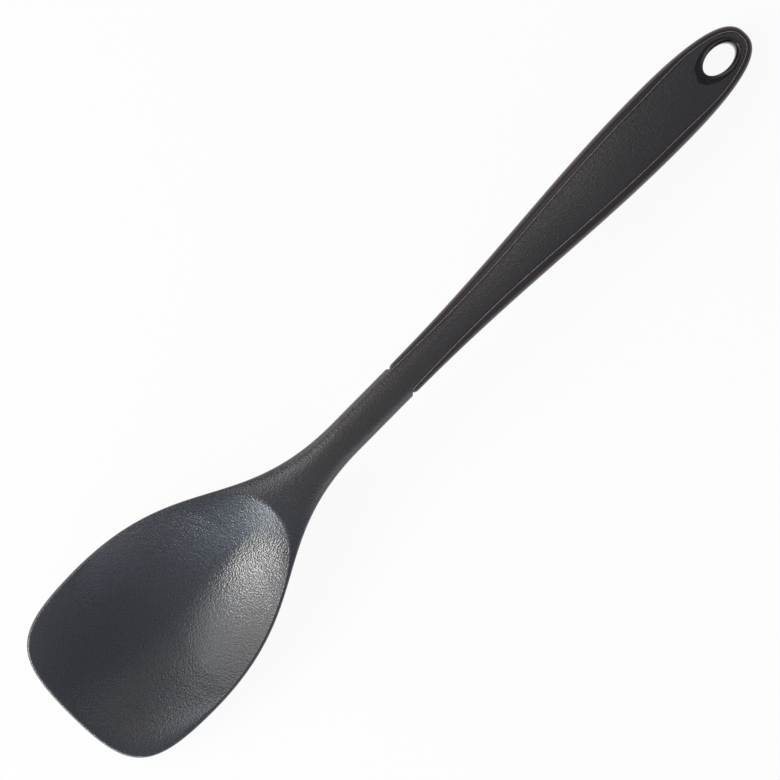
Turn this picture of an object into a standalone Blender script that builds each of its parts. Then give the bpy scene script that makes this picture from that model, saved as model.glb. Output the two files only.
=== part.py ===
"""Nylon serving spoon with a blunt front edge, a glossy band round its handle and an oval hanging hole.

It lies as on a table: +X runs to the handle's tip, +Z is up, and the origin is at the bottom centre of
its box. Along the spoon, a "station" is a distance from the bowl's front edge.
"""

import math

import bmesh
import bpy
import numpy as np

# Lengths along the spoon, in metres
BOWL_LENGTH = 0.0999
NECK_LENGTH = 0.0599
GRIP_LENGTH = 0.1702
CREASE_BEND = 0.0161
WIDEST_FROM_FRONT = 0.036
DEEPEST_FROM_FRONT = 0.044
WAIST_BEHIND_BOWL = 0.0347
GRIP_WIDEST_FROM_TIP = 0.042
CREST_BEHIND_NOTCH = 0.006

# Widths across the spoon
BOWL_WIDTH = 0.0678
NECK_WIDTH = 0.0129
GRIP_WIDTH = 0.0242

# Heights of the silhouette's edge above the table
FRONT_EDGE_HEIGHT = 0.0080
SIDE_EDGE_HEIGHT = 0.0122
SHOULDER_EDGE_HEIGHT = 0.0172
WAIST_EDGE_HEIGHT = 0.0242
CREST_EDGE_HEIGHT = 0.0256
HANDLE_EDGE_HEIGHT = 0.0188

# Thicknesses
BOWL_WALL = 0.0026
LIP_THICKNESS = 0.0020
LIP_WIDTH = 0.0010
NECK_ROOT_THICKNESS = 0.0072
NECK_THICKNESS = 0.0086
GRIP_THICKNESS = 0.0104
TIP_THICKNESS = 0.0080
GRIP_ROUNDING = 0.0046
GRIP_ROUNDING_RUN = 0.0400
REST_FLAT_DEPTH = 0.0006
TIP_EDGE_DROP = 0.0007
NECK_FILLET = 0.0060

# Glossy band, its groove over the core's rail, and the notch where it starts
BAND_START_WIDTH = 0.0017
BAND_GRIP_WIDTH = 0.0034
BAND_TIP_WIDTH = 0.0023
BAND_WIDENING_RUN = 0.0600
BAND_NARROWING_RUN = 0.0250
BAND_PROUD = 0.0003
BAND_SKIN = 0.0010
RAIL_THICKNESS = 0.0024
NOTCH_DEPTH = 0.0009
NOTCH_LENGTH = 0.0030

# Hanging hole and its liner
HOLE_FROM_TIP = 0.0130
HOLE_LENGTH = 0.0143
HOLE_WIDTH = 0.0084
LINER_WALL = 0.0012
LINER_LIP_THICKNESS = 0.0021
DISH_TO_BOWL = 0.0045
DISH_TO_SIDE = 0.0020
DISH_TO_TIP = 0.0012
DISH_DROP = 0.0022
DISH_MIDDLE_DROP = 0.0008

# Clearance left between neighbouring pieces
CLEARANCE = 0.0003

# Shape factors, with no unit
FRONT_BLUNTNESS = 0.824
FRONT_REACH = 0.846
BOWL_SIDE_REACH = 0.509
WAIST_REACH = 0.456
GRIP_START_REACH = 0.41
GRIP_END_REACH = 0.35
TIP_SIDE_REACH = 0.96
TIP_BLUNTNESS = 0.40
CREASE_POWER = 2.4
CREASE_LIFT_POWER = 3
FLOOR_POWER = 1.9
HOLLOW_POWER = 2.0
VALLEY_POWER = 1.4
NECK_SQUARENESS = 2.3
BAND_SQUARENESS = 0.85
FRONT_CORNER_SHARE = 0.52
TIP_CORNER_SHARE = 0.42
DISH_MIDDLE_SHARE = 0.5

# Derived places
OVERALL_LENGTH = BOWL_LENGTH + NECK_LENGTH + GRIP_LENGTH
NOTCH = BOWL_LENGTH + NECK_LENGTH
CREASE_SIDE = BOWL_LENGTH - CREASE_BEND
WAIST = BOWL_LENGTH + WAIST_BEHIND_BOWL
CREST = NOTCH + CREST_BEHIND_NOTCH
GRIP_WIDEST = OVERALL_LENGTH - GRIP_WIDEST_FROM_TIP
HOLE_CENTRE = OVERALL_LENGTH - HOLE_FROM_TIP
TIP_EDGE_HEIGHT = TIP_THICKNESS / 2 - TIP_EDGE_DROP

# Cutters reach this far past the faces they cut
OVERSHOOT = 0.0030

# A length too short to matter
TINY = 1e-9

# Mesh fineness
HALF_COLUMNS = 8
FRONT_ROWS = 10
REAR_ROWS = 12
ROOT_ROWS = 7
NECK_ROWS = 7
GRIP_ROWS = 12
TIP_ROWS = 8
CURVE_STEPS = 120
BORDER_STEPS = 3
BAND_STEPS = 4
NOTCH_STEPS = 3
BAND_ROWS = 16
BAND_TIP_ROWS = 22
OVAL_STEPS = 40
SHARP_ANGLE = math.radians(35)
COLUMN_SPREAD = np.sin(np.linspace(0, 1, HALF_COLUMNS + 1) * math.pi / 2)


def smooth(x, stations, values):
    """A cubic curve through (station, value) pairs that never overshoots between two of them."""
    s, v = np.asarray(stations, float), np.asarray(values, float)
    step = np.diff(s)
    slope = np.diff(v) / step
    tangent = np.zeros(len(s))
    tangent[0], tangent[-1] = slope[0], slope[-1]
    same_way = slope[:-1] * slope[1:] > 0
    mean = 2 * slope[:-1] * slope[1:] / np.where(same_way, slope[:-1] + slope[1:], 1)
    tangent[1:-1] = np.where(same_way, mean, 0)
    x = np.clip(x, s[0], s[-1])
    k = np.clip(np.searchsorted(s, x, side="right") - 1, 0, len(s) - 2)
    t = (x - s[k]) / step[k]
    start = v[k] * (1 + 2 * t) * (1 - t) ** 2 + tangent[k] * step[k] * t * (1 - t) ** 2
    return start + v[k + 1] * t * t * (3 - 2 * t) - tangent[k + 1] * step[k] * t * t * (1 - t)


def bezier(p0, p1, p2, p3):
    """Points along a cubic Bezier curve in plan, both ends included."""
    u = np.linspace(0, 1, CURVE_STEPS)[:, None]
    ends = (1 - u) ** 3 * np.array(p0) + u**3 * np.array(p3)
    return ends + 3 * (1 - u) ** 2 * u * np.array(p1) + 3 * (1 - u) * u**2 * np.array(p2)


def half_outline():
    """The silhouette in plan, from the middle of the front edge to the tip, as (station, half width)."""
    bowl, neck, grip = BOWL_WIDTH / 2, NECK_WIDTH / 2, GRIP_WIDTH / 2
    flank, swell = WAIST - WIDEST_FROM_FRONT, GRIP_WIDEST - NOTCH
    widest = (WIDEST_FROM_FRONT, bowl)
    front_turn = (WIDEST_FROM_FRONT * (1 - FRONT_REACH), bowl)
    side_turn = (WIDEST_FROM_FRONT + BOWL_SIDE_REACH * flank, bowl)
    tip_turn = (GRIP_WIDEST + TIP_SIDE_REACH * GRIP_WIDEST_FROM_TIP, grip)
    pieces = [
        bezier((0, 0), (0, FRONT_BLUNTNESS * bowl), front_turn, widest),
        bezier(widest, side_turn, (WAIST - WAIST_REACH * flank, neck), (WAIST, neck)),
        bezier(
            (NOTCH, neck),
            (NOTCH + GRIP_START_REACH * swell, neck),
            (GRIP_WIDEST - GRIP_END_REACH * swell, grip),
            (GRIP_WIDEST, grip),
        ),
        bezier((GRIP_WIDEST, grip), tip_turn, (OVERALL_LENGTH, TIP_BLUNTNESS * grip), (OVERALL_LENGTH, 0)),
    ]
    points = np.vstack([pieces[0]] + [piece if k == 1 else piece[1:] for k, piece in enumerate(pieces[1:])])
    return points[np.append(True, np.hypot(*np.diff(points, axis=0).T) > TINY)]


class Outline:
    """The half outline by arc length, with the unit normal that points inwards."""

    def __init__(self):
        self.points = half_outline()
        steps = np.hypot(*np.diff(self.points, axis=0).T)
        self.arc = np.append(0, np.cumsum(steps))
        tangent = np.gradient(self.points, self.arc, axis=0)
        tangent[0], tangent[-1] = (0, 1), (0, -1)
        tangent /= np.hypot(*tangent.T)[:, None]
        self.normal = np.column_stack([tangent[:, 1], -tangent[:, 0]])

    def at(self, arc):
        point = [np.interp(arc, self.arc, self.points[:, k]) for k in (0, 1)]
        normal = [np.interp(arc, self.arc, self.normal[:, k]) for k in (0, 1)]
        return np.array(point).T, np.array(normal).T

    def arc_at(self, station):
        return float(np.interp(station, self.points[:, 0], self.arc))

    def half_width(self, station):
        return np.interp(station, self.points[:, 0], self.points[:, 1])

    def distance(self, station, y):
        """Distance inwards from the silhouette to points in plan."""
        points = np.column_stack([np.ravel(station), np.abs(np.ravel(y))])
        start, run = self.points[:-1], np.diff(self.points, axis=0)
        offset = points[:, None] - start
        share = np.clip((offset * run).sum(-1) / (run * run).sum(-1), 0, 1)
        nearest = np.sqrt(((offset - share[..., None] * run) ** 2).sum(-1)).min(1)
        return nearest.reshape(np.shape(station))


OUTLINE = Outline()


def edge_height(station):
    """Height of the silhouette's edge, which arches from the bowl over the neck to the tip."""
    handle_middle = (CREST + OVERALL_LENGTH) / 2
    return smooth(
        station,
        (0, WIDEST_FROM_FRONT, CREASE_SIDE, WAIST, CREST, handle_middle, OVERALL_LENGTH),
        (
            FRONT_EDGE_HEIGHT,
            SIDE_EDGE_HEIGHT,
            SHOULDER_EDGE_HEIGHT,
            WAIST_EDGE_HEIGHT,
            CREST_EDGE_HEIGHT,
            HANDLE_EDGE_HEIGHT,
            TIP_EDGE_HEIGHT,
        ),
    )


def half_thickness(station):
    """Half the thickness of the neck and the handle along the centre line."""
    stations = (CREASE_SIDE, BOWL_LENGTH, WAIST, NOTCH, GRIP_WIDEST, OVERALL_LENGTH)
    root, neck = NECK_ROOT_THICKNESS, NECK_THICKNESS
    return smooth(station, stations, (LIP_THICKNESS, root, neck, neck, GRIP_THICKNESS, TIP_THICKNESS)) / 2


def neck_share(station):
    """0 over the bowl, where the section is a thin shell, and 1 from the waist on, where it is round."""
    return smooth(station, (CREASE_SIDE, WAIST), (0, 1))


def round_section(station, inset):
    """Share of the neck's or handle's half thickness that is reached this far in from the silhouette."""
    on_grip = smooth(station, (NOTCH, NOTCH + GRIP_ROUNDING_RUN), (NECK_WIDTH / 2, GRIP_ROUNDING))
    rounding = np.where(station > NOTCH, on_grip, np.maximum(OUTLINE.half_width(station), LIP_WIDTH))
    depth = np.clip(inset / rounding, 0, 1)
    return (1 - (1 - depth) ** NECK_SQUARENESS) ** (1 / NECK_SQUARENESS)


def inset_at(station, y):
    """Distance in from the silhouette, taken straight across the spoon up to the notch."""
    return np.where(station > NOTCH, OUTLINE.distance(station, y), OUTLINE.half_width(station) - np.abs(y))


def section_power(station):
    """How flat the bowl's section is: round at its widest place, and nearer a V towards the crease."""
    return smooth(station, (WIDEST_FROM_FRONT, CREASE_SIDE), (HOLLOW_POWER, VALLEY_POWER))


def section_rise(station, y, middle, power):
    """Rise from the edge to a face that reaches the given rise on the centre line."""
    inset = inset_at(station, y)
    lip = LIP_THICKNESS / 2
    inside = np.maximum(OUTLINE.half_width(station) - LIP_WIDTH, LIP_WIDTH)
    across = np.clip(1 - (inset - LIP_WIDTH) / inside, 0, 1)
    shell = lip + (middle - lip) * (1 - across**power)
    share = neck_share(station)
    return shell * (1 - share) + middle * round_section(station, inset) * share


def bowl_curve(way, floor, front, rear):
    """Height along the bowl's middle: floor at its deepest place, front and rear at way -1 and 1."""
    end = np.where(way < 0, front, rear)
    return floor + (end - floor) * np.abs(way) ** FLOOR_POWER


def underside_fall(station):
    """Fall from the edge to the underside on the centre line, where the bowl's hull runs into the neck."""
    ahead = (station - DEEPEST_FROM_FRONT) / (DEEPEST_FROM_FRONT - LIP_WIDTH)
    behind = (station - DEEPEST_FROM_FRONT) / (BOWL_LENGTH + BOWL_WALL - DEEPEST_FROM_FRONT)
    way = np.clip(np.where(ahead < 0, ahead, behind), -1, 1)
    front = edge_height(0) - LIP_THICKNESS / 2
    hull = edge_height(station) - bowl_curve(way, -REST_FLAT_DEPTH, front, top_height(BOWL_LENGTH, 0.0))
    hull = np.where(way < 1, hull, -NECK_FILLET)
    neck = half_thickness(station)
    blend = np.maximum(NECK_FILLET - np.abs(hull - neck), 0) ** 2 / (4 * NECK_FILLET)
    return np.maximum(hull, neck) + np.where(station > DEEPEST_FROM_FRONT, blend, 0)


def top_height(station, y):
    """Top face of the neck and the handle."""
    return edge_height(station) + section_rise(station, y, half_thickness(station), HOLLOW_POWER)


def bottom_height(station, y):
    """Underside of the whole spoon, flat where it rests on the table."""
    fall = section_rise(station, y, underside_fall(station), section_power(station))
    return np.maximum(edge_height(station) - fall, 0)


def hollow_heights(row):
    """Inside of the bowl along a row, whose way is -1 on the front lip and 1 on the crease."""
    rim = edge_height(row.station) + LIP_THICKNESS / 2
    rim = rim + (top_height(row.station, row.y) - rim) * max(row.way, 0) ** CREASE_LIFT_POWER
    front = edge_height(0) + LIP_THICKNESS / 2
    floor = bowl_curve(row.way, BOWL_WALL, front, top_height(BOWL_LENGTH, 0.0))
    middle = rim[len(rim) // 2]
    return rim - (middle - floor) * (1 - row.across ** section_power(row.station))


def border_share(station, turn):
    """Share of the border's rise at a turn of its rounding, 0 on the silhouette and a quarter turn inside."""
    inset = LIP_WIDTH * (1 - math.cos(turn))
    round_neck = round_section(station, inset) / round_section(station, LIP_WIDTH)
    share = neck_share(station)
    return float(abs(math.sin(turn)) * (1 - share) + round_neck * share)


class Row:
    """One row of the plan grid, from one border to the other.

    bend says how far each point has gone from the row's middle station to its side station, and spread
    how far from the centre line to the side. edges and normals are the silhouette beside its ends, or
    beside all of its points on the first and the last row.
    """

    def __init__(self, middle, side_arc, bend, spread, way=None, arcs=None):
        self.way = way
        self.edges, self.normals = OUTLINE.at(np.array([side_arc]) if arcs is None else arcs)
        side = self.edges[-1] + self.normals[-1] * LIP_WIDTH
        self.station = self.both_sides(middle + (side[0] - middle) * bend, 1)
        self.y = self.both_sides(side[1] * spread, -1)
        self.across = self.both_sides(COLUMN_SPREAD, 1)

    @staticmethod
    def both_sides(half, sign):
        return np.append(sign * half[:0:-1], half)

    def silhouette(self, column):
        """The silhouette's point and inward normal beside a column."""
        middle = len(self.station) // 2
        k = abs(column - middle) if len(self.edges) > 1 else 0
        flip = np.array([1, -1 if column < middle else 1])
        return self.edges[k] * flip, self.normals[k] * flip


def end_row_shape(arcs):
    """Middle station, bend and spread of a row that follows the front edge or the tip."""
    edges, normals = OUTLINE.at(arcs)
    inner = edges + normals * LIP_WIDTH
    bend = (inner[:, 0] - inner[0, 0]) / (inner[-1, 0] - inner[0, 0])
    return inner[0, 0], bend, inner[:, 1] / inner[-1, 1]


def rows_between(count, start, end, shapes, ways=None):
    """Rows from one (middle station, side arc) pair up to another, whose (bend, spread) shapes blend."""
    rows = []
    for t in np.arange(count) / count:
        middle, side_arc = (a * (1 - t) + b * t for a, b in zip(start, end))
        bend, spread = (a * (1 - t) + b * t for a, b in zip(*shapes))
        way = None if ways is None else ways[0] * (1 - t) + ways[1] * t
        rows.append(Row(middle, side_arc, bend, spread, way))
    return rows


def plan_rows():
    """All rows from the front edge to the tip. Those with a way lie in the hollow, up to the crease."""
    front_arcs = np.linspace(0, FRONT_CORNER_SHARE * OUTLINE.arc_at(WIDEST_FROM_FRONT), HALF_COLUMNS + 1)
    tip_end = OUTLINE.arc[-1]
    tip_side = tip_end - TIP_CORNER_SHARE * (tip_end - OUTLINE.arc_at(GRIP_WIDEST))
    tip_arcs = np.linspace(tip_end, tip_side, HALF_COLUMNS + 1)
    front_middle, *front_shape = end_row_shape(front_arcs)
    tip_middle, *tip_shape = end_row_shape(tip_arcs)
    crease_shape = (COLUMN_SPREAD**CREASE_POWER, COLUMN_SPREAD)
    steady = (crease_shape, crease_shape)

    def straight(station):
        return station, OUTLINE.arc_at(station)

    root_end = (BOWL_LENGTH + WAIST) / 2
    crease = (BOWL_LENGTH, OUTLINE.arc_at(CREASE_SIDE))
    deep = straight(DEEPEST_FROM_FRONT)
    front = (front_middle, front_arcs[-1])
    rows = [Row(*front, *front_shape, -1, front_arcs)]
    rows += rows_between(FRONT_ROWS, front, deep, (front_shape, crease_shape), (-1, 0))[1:]
    rows += rows_between(REAR_ROWS, deep, crease, steady, (0, 1))
    rows += rows_between(ROOT_ROWS, crease, straight(root_end), steady)
    rows += rows_between(NECK_ROWS, straight(root_end), straight(NOTCH), steady)
    rows += rows_between(GRIP_ROWS, straight(NOTCH), straight(GRIP_WIDEST), steady)
    tip = (tip_middle, tip_side)
    rows += rows_between(TIP_ROWS, straight(GRIP_WIDEST), tip, (crease_shape, tip_shape))
    rows.append(Row(*tip, *tip_shape, None, tip_arcs))
    return rows


def to_world(station, y, z):
    """A point of the model, with the origin half way along the spoon."""
    return float(station - OVERALL_LENGTH / 2), float(y), float(z)


def new_object(name, verts, faces, material=None):
    """A mesh object that is smooth except along its sharp edges."""
    mesh = bpy.data.meshes.new(name)
    mesh.from_pydata(verts, [], faces)
    work = bmesh.new()
    work.from_mesh(mesh)
    bmesh.ops.recalc_face_normals(work, faces=work.faces)
    work.to_mesh(mesh)
    work.free()
    mesh.shade_smooth()
    mesh.set_sharp_from_angle(angle=SHARP_ANGLE)
    obj = bpy.data.objects.new(name, mesh)
    bpy.context.scene.collection.objects.link(obj)
    if material is not None:
        mesh.materials.append(material)
    return obj


def plastic(name, colour, roughness):
    """A moulded plastic with a base colour and a roughness."""
    material = bpy.data.materials.new(name)
    material.use_nodes = True
    shader = material.node_tree.nodes["Principled BSDF"]
    shader.inputs["Base Color"].default_value = (*colour, 1)
    shader.inputs["Roughness"].default_value = roughness
    shader.inputs["Metallic"].default_value = 0
    return material


def bridge(first, second):
    """Quads between two closed loops of vertex numbers."""
    count = len(first)
    return [(first[k], first[(k + 1) % count], second[(k + 1) % count], second[k]) for k in range(count)]


def grid_faces(rows, columns, offset):
    """Quads of a grid whose vertices start at offset."""
    faces = []
    for r in range(rows - 1):
        for c in range(columns - 1):
            corner = offset + r * columns + c
            faces.append((corner, corner + 1, corner + columns + 1, corner + columns))
    return faces


def border_cells(rows, columns):
    """The grid's outer cells as (row, column), once round."""
    loop = [(0, c) for c in range(columns)]
    loop += [(r, columns - 1) for r in range(1, rows)]
    loop += [(rows - 1, c) for c in range(columns - 2, -1, -1)]
    return loop + [(r, 0) for r in range(rows - 2, 0, -1)]


def row_heights(row):
    """Top and bottom heights along a row."""
    if row.way is None:
        top = top_height(row.station, row.y)
    else:
        top = hollow_heights(row)
    return top, bottom_height(row.station, row.y)


def spoon_blank(material):
    """Bowl, neck and handle as one body: two sheets of heights over one plan, joined by a rounded border."""
    rows = plan_rows()
    columns = len(rows[0].station)
    sheets = [[], []]
    for row in rows:
        for sheet, heights in zip(sheets, row_heights(row)):
            sheet += [to_world(*point) for point in zip(row.station, row.y, heights)]
    verts = sheets[0] + sheets[1]
    offsets = (0, len(sheets[0]))
    faces = grid_faces(len(rows), columns, 0) + grid_faces(len(rows), columns, offsets[1])
    cells = border_cells(len(rows), columns)
    silhouette = [rows[r].silhouette(c) for r, c in cells]
    loops = [[offsets[0] + r * columns + c for r, c in cells]]
    turns = np.linspace(90, -90, 2 * BORDER_STEPS + 1)[1:-1]
    for turn in np.radians(turns):
        sheet = sheets[0] if turn > 0 else sheets[1]
        loop = []
        for (r, c), (edge, normal) in zip(cells, silhouette):
            base = edge_height(edge[0])
            plan = edge + normal * LIP_WIDTH * (1 - math.cos(turn))
            height = base + (sheet[r * columns + c][2] - base) * border_share(edge[0], turn)
            loop.append(len(verts))
            verts.append(to_world(*plan, height))
        loops.append(loop)
    loops.append([offsets[1] + r * columns + c for r, c in cells])
    for first, second in zip(loops, loops[1:]):
        faces += bridge(first, second)
    return new_object("spoon_core", verts, faces, material)


def band_width(station):
    """Visible width of the glossy band, from the silhouette to the matt panel."""
    hole_start = HOLE_CENTRE - HOLE_LENGTH / 2
    stations = (NOTCH, NOTCH + BAND_WIDENING_RUN, hole_start - BAND_NARROWING_RUN, hole_start)
    return smooth(station, stations, (BAND_START_WIDTH, BAND_GRIP_WIDTH, BAND_GRIP_WIDTH, BAND_TIP_WIDTH))


def band_outside(width, top, set_back):
    """Outer face of the band's section as (inset, height) points, from its upper inner edge to the lower."""
    points = []
    for turn in np.radians(np.linspace(90, -90, 2 * BAND_STEPS + 1)):
        inset = width - (width - set_back) * math.cos(turn) ** BAND_SQUARENESS
        points.append((inset, top * math.copysign(abs(math.sin(turn)) ** BAND_SQUARENESS, turn)))
    return points


def band_groove(width, skin, rail):
    """The groove over the rail, from its lower inner edge to the upper one."""
    return [(width, -rail), (skin, -rail), (skin, rail), (width, rail)]


def band_path():
    """Arc positions from the notch to the tip, closer together where the tip turns."""
    start, turn, end = OUTLINE.arc_at(NOTCH), OUTLINE.arc_at(GRIP_WIDEST), OUTLINE.arc[-1]
    opening = start + NOTCH_LENGTH * np.linspace(0, 1, NOTCH_STEPS + 1)
    along = np.linspace(opening[-1], turn, BAND_ROWS)[1:]
    round_tip = np.linspace(turn, end, BAND_TIP_ROWS)[1:]
    return np.concatenate([opening, along, round_tip])


def band_section(arc, start_arc, cutter):
    """One section of the band, or of the slightly larger space that the core leaves for it."""
    edge, normal = (value[0] for value in OUTLINE.at(np.array([arc])))
    tangent = np.array((-normal[1], normal[0]))
    tangent *= math.copysign(1, tangent[0]) if abs(tangent[0]) > TINY else 1
    width = float(band_width(edge[0]))
    inner = edge + normal * width
    rise = float(top_height(inner[0], inner[1]) - edge_height(inner[0]))
    ahead = max(0.0, 1 - (arc - start_arc) / NOTCH_LENGTH)
    if cutter:
        grown = width + CLEARANCE
        reach, tall = -OVERSHOOT, rise + OVERSHOOT
        section = [(grown, tall), (reach, tall), (reach, -tall), (grown, -tall)]
        section += band_groove(grown, BAND_SKIN, RAIL_THICKNESS / 2)
    else:
        set_back = NOTCH_DEPTH * ahead**2
        section = band_outside(width, rise + BAND_PROUD, set_back)
        section += band_groove(width, BAND_SKIN - CLEARANCE, RAIL_THICKNESS / 2 + CLEARANCE)
    slant = ahead * (1 if arc - start_arc < NOTCH_LENGTH else 0)
    shift = -CLEARANCE if cutter else 0
    points = []
    for inset, height in section:
        plan = edge + normal * inset + tangent * (slant * inset + ahead * shift)
        level = float(edge_height(plan[0])) + height
        points.append((plan[0], plan[1], level if cutter else max(level, 0)))
    return points


def band_mesh(name, material, cutter):
    """The band as one run of sections from notch to notch round the tip."""
    arcs = band_path()
    near = [band_section(arc, arcs[0], cutter) for arc in arcs]
    far = [[(s, -y, z) for s, y, z in section] for section in near[-2::-1]]
    count = len(near[0])
    verts = [to_world(*point) for section in near + far for point in section]
    loops = [list(range(k, k + count)) for k in range(0, len(verts), count)]
    faces = [tuple(loops[0]), tuple(reversed(loops[-1]))]
    for first, second in zip(loops, loops[1:]):
        faces += bridge(first, second)
    return new_object(name, verts, faces, material)


def oval(turn, grow_tip, grow_bowl, grow_side):
    """A point round the hanging hole, moved out by its own amount at the tip, the bowl and the side ends."""
    along, aside = math.cos(turn), math.sin(turn)
    end = grow_tip if along > 0 else grow_bowl
    return HOLE_CENTRE + (HOLE_LENGTH / 2 + end) * along, (HOLE_WIDTH / 2 + grow_side) * aside


def liner_section(turn, cutter):
    """The liner's section at one turn round the hole, from the upper inner edge round to the lower one."""
    grow = CLEARANCE if cutter else 0
    lip = [value + grow for value in (DISH_TO_TIP, DISH_TO_BOWL, DISH_TO_SIDE)]
    sleeve = [LINER_WALL + grow] * 3
    dish = [value * DISH_MIDDLE_SHARE for value in (DISH_TO_TIP, DISH_TO_BOWL, DISH_TO_SIDE)]
    points = []
    for side, face in ((1, top_height), (-1, bottom_height)):
        outer = oval(turn, *lip)
        surface = float(face(*outer))
        under = surface - side * (LINER_LIP_THICKNESS + grow)
        half = [(*oval(turn, 0, 0, 0), surface - side * DISH_DROP)]
        half.append((*oval(turn, *dish), surface - side * DISH_MIDDLE_DROP))
        half.append((*outer, surface + side * (OVERSHOOT if cutter else 0)))
        half += [(*outer, under), (*oval(turn, *sleeve), under)]
        if cutter:
            half = half[2:]
        points += half if side > 0 else half[::-1]
    return points


def liner_mesh(name, material, cutter):
    """The oval liner as a closed ring, or the solid plug of space that it takes out of the core."""
    turns = np.arange(OVAL_STEPS) * 2 * math.pi / OVAL_STEPS
    sections = [liner_section(turn, cutter) for turn in turns]
    count = len(sections[0])
    verts = [to_world(*point) for section in sections for point in section]
    rings = [[k * count + level for k in range(OVAL_STEPS)] for level in range(count)]
    faces = []
    for level in range(count - (1 if cutter else 0)):
        faces += bridge(rings[level], rings[(level + 1) % count])
    if cutter:
        faces += [tuple(rings[0]), tuple(reversed(rings[-1]))]
    return new_object(name, verts, faces, material)


def cut_away(obj, cutter):
    """Takes a helper's shape out of an object."""
    cutter.hide_render = True
    cutter.display_type = "WIRE"
    cut = obj.modifiers.new(cutter.name, "BOOLEAN")
    cut.operation = "DIFFERENCE"
    cut.object = cutter


def build():
    """Builds the three pieces in an empty scene."""
    for obj in list(bpy.data.objects):
        bpy.data.objects.remove(obj)
    matt = plastic("matt_nylon", (0.040, 0.041, 0.045), 0.55)
    gloss = plastic("gloss_overmould", (0.018, 0.016, 0.017), 0.18)
    core = spoon_blank(matt)
    cut_away(core, band_mesh("band_space", None, True))
    cut_away(core, liner_mesh("liner_space", None, True))
    band_mesh("grip_band", gloss, False)
    liner_mesh("hole_liner", gloss, False)


build()
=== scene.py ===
"""Looks of a nylon serving spoon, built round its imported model.

The spoon is three pieces: the matt moulded body, the glossy band round the handle's edge and the glossy liner
of the hanging hole. A fine bead runs along the band's inner edge. Everything is in metres and in the model's
frame: +X runs to the handle's tip and +Z is up. A "station" is a distance along the spoon from the bowl's
front edge, and an "inset" one in from the silhouette.
"""

import logging
import math
from collections.abc import Callable, Sequence
from dataclasses import dataclass
from enum import Enum
from functools import partial

import bpy
import numpy as np
from bpy.types import Material, Node, NodeSocket, NodeTree, Object
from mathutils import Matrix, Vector


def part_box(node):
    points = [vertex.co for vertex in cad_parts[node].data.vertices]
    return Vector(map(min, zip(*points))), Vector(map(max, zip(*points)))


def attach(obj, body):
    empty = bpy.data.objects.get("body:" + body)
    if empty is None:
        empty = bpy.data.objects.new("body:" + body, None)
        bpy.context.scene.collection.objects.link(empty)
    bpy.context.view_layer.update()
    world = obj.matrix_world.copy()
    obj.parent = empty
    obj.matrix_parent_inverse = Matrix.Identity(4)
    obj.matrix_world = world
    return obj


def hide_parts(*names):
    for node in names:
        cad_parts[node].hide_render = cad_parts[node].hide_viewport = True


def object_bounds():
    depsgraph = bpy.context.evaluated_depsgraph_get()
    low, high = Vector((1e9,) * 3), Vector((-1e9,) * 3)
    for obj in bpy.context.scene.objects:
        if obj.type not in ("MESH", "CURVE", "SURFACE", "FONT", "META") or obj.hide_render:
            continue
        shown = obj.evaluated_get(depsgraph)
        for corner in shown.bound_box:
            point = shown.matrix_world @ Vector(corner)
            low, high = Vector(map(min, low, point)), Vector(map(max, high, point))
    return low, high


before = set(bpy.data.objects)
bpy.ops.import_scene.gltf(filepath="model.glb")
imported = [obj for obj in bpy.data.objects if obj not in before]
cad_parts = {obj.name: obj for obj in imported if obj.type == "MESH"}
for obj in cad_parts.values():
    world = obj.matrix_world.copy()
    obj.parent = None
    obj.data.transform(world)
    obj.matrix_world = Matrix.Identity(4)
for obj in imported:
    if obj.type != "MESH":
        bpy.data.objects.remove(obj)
CAD_LOW, CAD_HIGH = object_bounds()
BAND_LOW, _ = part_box("grip_band")

LOG = logging.getLogger("spoon")
BODY = "root"
MM = 0.001
# Points nearer than this are one point
MERGE = 1e-6
WHITE = (1.0, 1.0, 1.0, 1.0)
# A Mix node's colour sockets, which have the same names as its number sockets
COLOUR_A, COLOUR_B, COLOUR_OUT = 6, 7, 2

Array = np.ndarray
Values = Array | float
Pair = tuple[float, float]
Point = tuple[float, float, float]
Shape = tuple[Array, Array]
# Gives a band's (inset, height) points from its width, its rise and how far the notch is still open
Section = Callable[[float, float, float], Sequence[Pair]]


def monotone_curve(x: Values, stations: Sequence[float], values: Sequence[float]) -> Array:
    """A cubic curve through pairs that never overshoots between two of them.

    Args:
        x: where it is read.
        stations: the pairs' places, rising.
        values: the pairs' values.

    Returns:
        The curve's values at x.
    """
    s, v = np.asarray(stations, float), np.asarray(values, float)
    step = np.diff(s)
    slope = np.diff(v) / step
    same_way = slope[:-1] * slope[1:] > 0
    mean = 2 * slope[:-1] * slope[1:] / np.where(same_way, slope[:-1] + slope[1:], 1)
    tangent = np.concatenate([slope[:1], np.where(same_way, mean, 0), slope[-1:]])
    x = np.clip(x, s[0], s[-1])
    k = np.clip(np.searchsorted(s, x, side="right") - 1, 0, len(s) - 2)
    t = (x - s[k]) / step[k]
    start = v[k] * (1 + 2 * t) * (1 - t) ** 2 + tangent[k] * step[k] * t * (1 - t) ** 2
    return start + v[k + 1] * t * t * (3 - 2 * t) - tangent[k + 1] * step[k] * t * t * (1 - t)


def bezier(*handles: Pair, steps: int = 400) -> Array:
    """Points along a cubic Bezier curve in plan, both ends included.

    Args:
        handles: the start, its handle, the end's handle and the end.
        steps: how many points.

    Returns:
        The points, one a row.
    """
    p0, p1, p2, p3 = (np.array(handle) for handle in handles)
    u = np.linspace(0, 1, steps)[:, None]
    return (1 - u) ** 3 * p0 + 3 * (1 - u) ** 2 * u * p1 + 3 * (1 - u) * u**2 * p2 + u**3 * p3


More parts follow.
